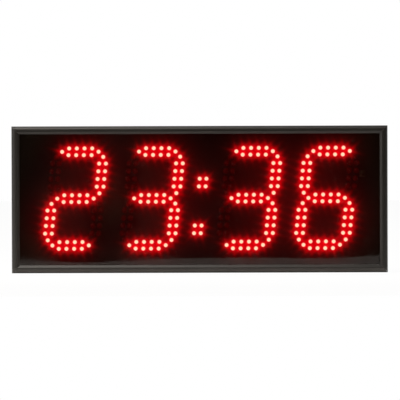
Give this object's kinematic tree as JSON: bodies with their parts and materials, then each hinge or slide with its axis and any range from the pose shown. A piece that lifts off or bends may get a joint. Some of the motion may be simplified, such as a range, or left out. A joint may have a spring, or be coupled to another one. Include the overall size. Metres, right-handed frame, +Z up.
{
  "type": "gym round timer",
  "caption": "Wall or shelf round timer: red LED minutes and seconds behind a smoked filter in a slim black aluminium frame, with rear controls.",
  "frame": {"origin": "middle of the case's base, with the case's depth and width centred on it", "axes": "+X to the viewer's right, +Y from the front filter to the back cover, +Z up"},
  "size_m": [0.372, 0.04, 0.1453],
  "materials": {
    "black_anodised_aluminium": "satin black anodised",
    "zinc_steel": "zinc plated",
    "smoked_acrylic": "polished, dark smoke tint",
    "foam_gasket": "matt foam",
    "black_circuit_board": "black solder mask",
    "red_led_epoxy": "tinted clear epoxy",
    "chip_epoxy": "moulded epoxy",
    "ceramic_chip": "fired, with tinned ends",
    "connector_plastic": "moulded",
    "green_circuit_board": "green solder mask",
    "brass_pillar": "turned",
    "nickel_contact": "nickel plated",
    "switch_plastic": "fine satin",
    "button_plastic": "moulded",
    "capacitor_can": "sleeved can",
    "buzzer_plastic": "moulded",
    "black_painted_sheet": "fine textured powder coat",
    "black_screw": "black oxide"
  },
  "bodies": {
    "case": {"frame_top_rail": "black_anodised_aluminium", "frame_bottom_rail": "black_anodised_aluminium", "frame_left_rail": "black_anodised_aluminium", "frame_right_rail": "black_anodised_aluminium", "corner_keys": "zinc_steel", "key_grub_screws": "zinc_steel", "front_filter": "smoked_acrylic", "filter_gasket": "foam_gasket", "led_board": "black_circuit_board", "minutes_tens_leds": "red_led_epoxy", "minutes_units_leds": "red_led_epoxy", "colon_leds": "red_led_epoxy", "seconds_tens_leds": "red_led_epoxy", "seconds_units_leds": "red_led_epoxy", "remote_receiver": "chip_epoxy", "led_drivers": "chip_epoxy", "resistor_arrays": "chip_epoxy", "chip_capacitors": "ceramic_chip", "board_socket": "connector_plastic", "board_header": "connector_plastic", "control_board": "green_circuit_board", "control_pillars": "brass_pillar", "control_board_screws": "zinc_steel", "power_jack": "connector_plastic", "power_jack_pin": "nickel_contact", "power_switch_body": "switch_plastic", "button_switches": "connector_plastic", "timer_controller": "chip_epoxy", "clock_crystal": "nickel_contact", "voltage_regulator": "chip_epoxy", "supply_capacitor": "capacitor_can", "cell_holder": "connector_plastic", "clock_cell": "nickel_contact", "buzzer": "buzzer_plastic", "back_cover": "black_painted_sheet", "back_cover_screws": "black_screw"},
    "power_rocker": {"power_rocker": "switch_plastic"},
    "set_button": {"set_button_cap": "button_plastic", "set_button_stem": "connector_plastic"},
    "up_button": {"up_button_cap": "button_plastic", "up_button_stem": "connector_plastic"},
    "down_button": {"down_button_cap": "button_plastic", "down_button_stem": "connector_plastic"}
  },
  "joints": [
    {"name": "power_rocker_hinge", "type": "hinge", "parent": "case", "child": "power_rocker", "pos_m": [-0.02, 0.0155, 0.042], "axis": [1, 0, 0], "range_deg": [-16, 0]},
    {"name": "set_button_press", "type": "slide", "parent": "case", "child": "set_button", "axis": [0, -1, 0], "range_m": [0, 0.0003], "stiffness_N_per_m": 5000},
    {"name": "up_button_press", "type": "slide", "parent": "case", "child": "up_button", "axis": [0, -1, 0], "range_m": [0, 0.0003], "stiffness_N_per_m": 5000},
    {"name": "down_button_press", "type": "slide", "parent": "case", "child": "down_button", "axis": [0, -1, 0], "range_m": [0, 0.0003], "stiffness_N_per_m": 5000}
  ]
}
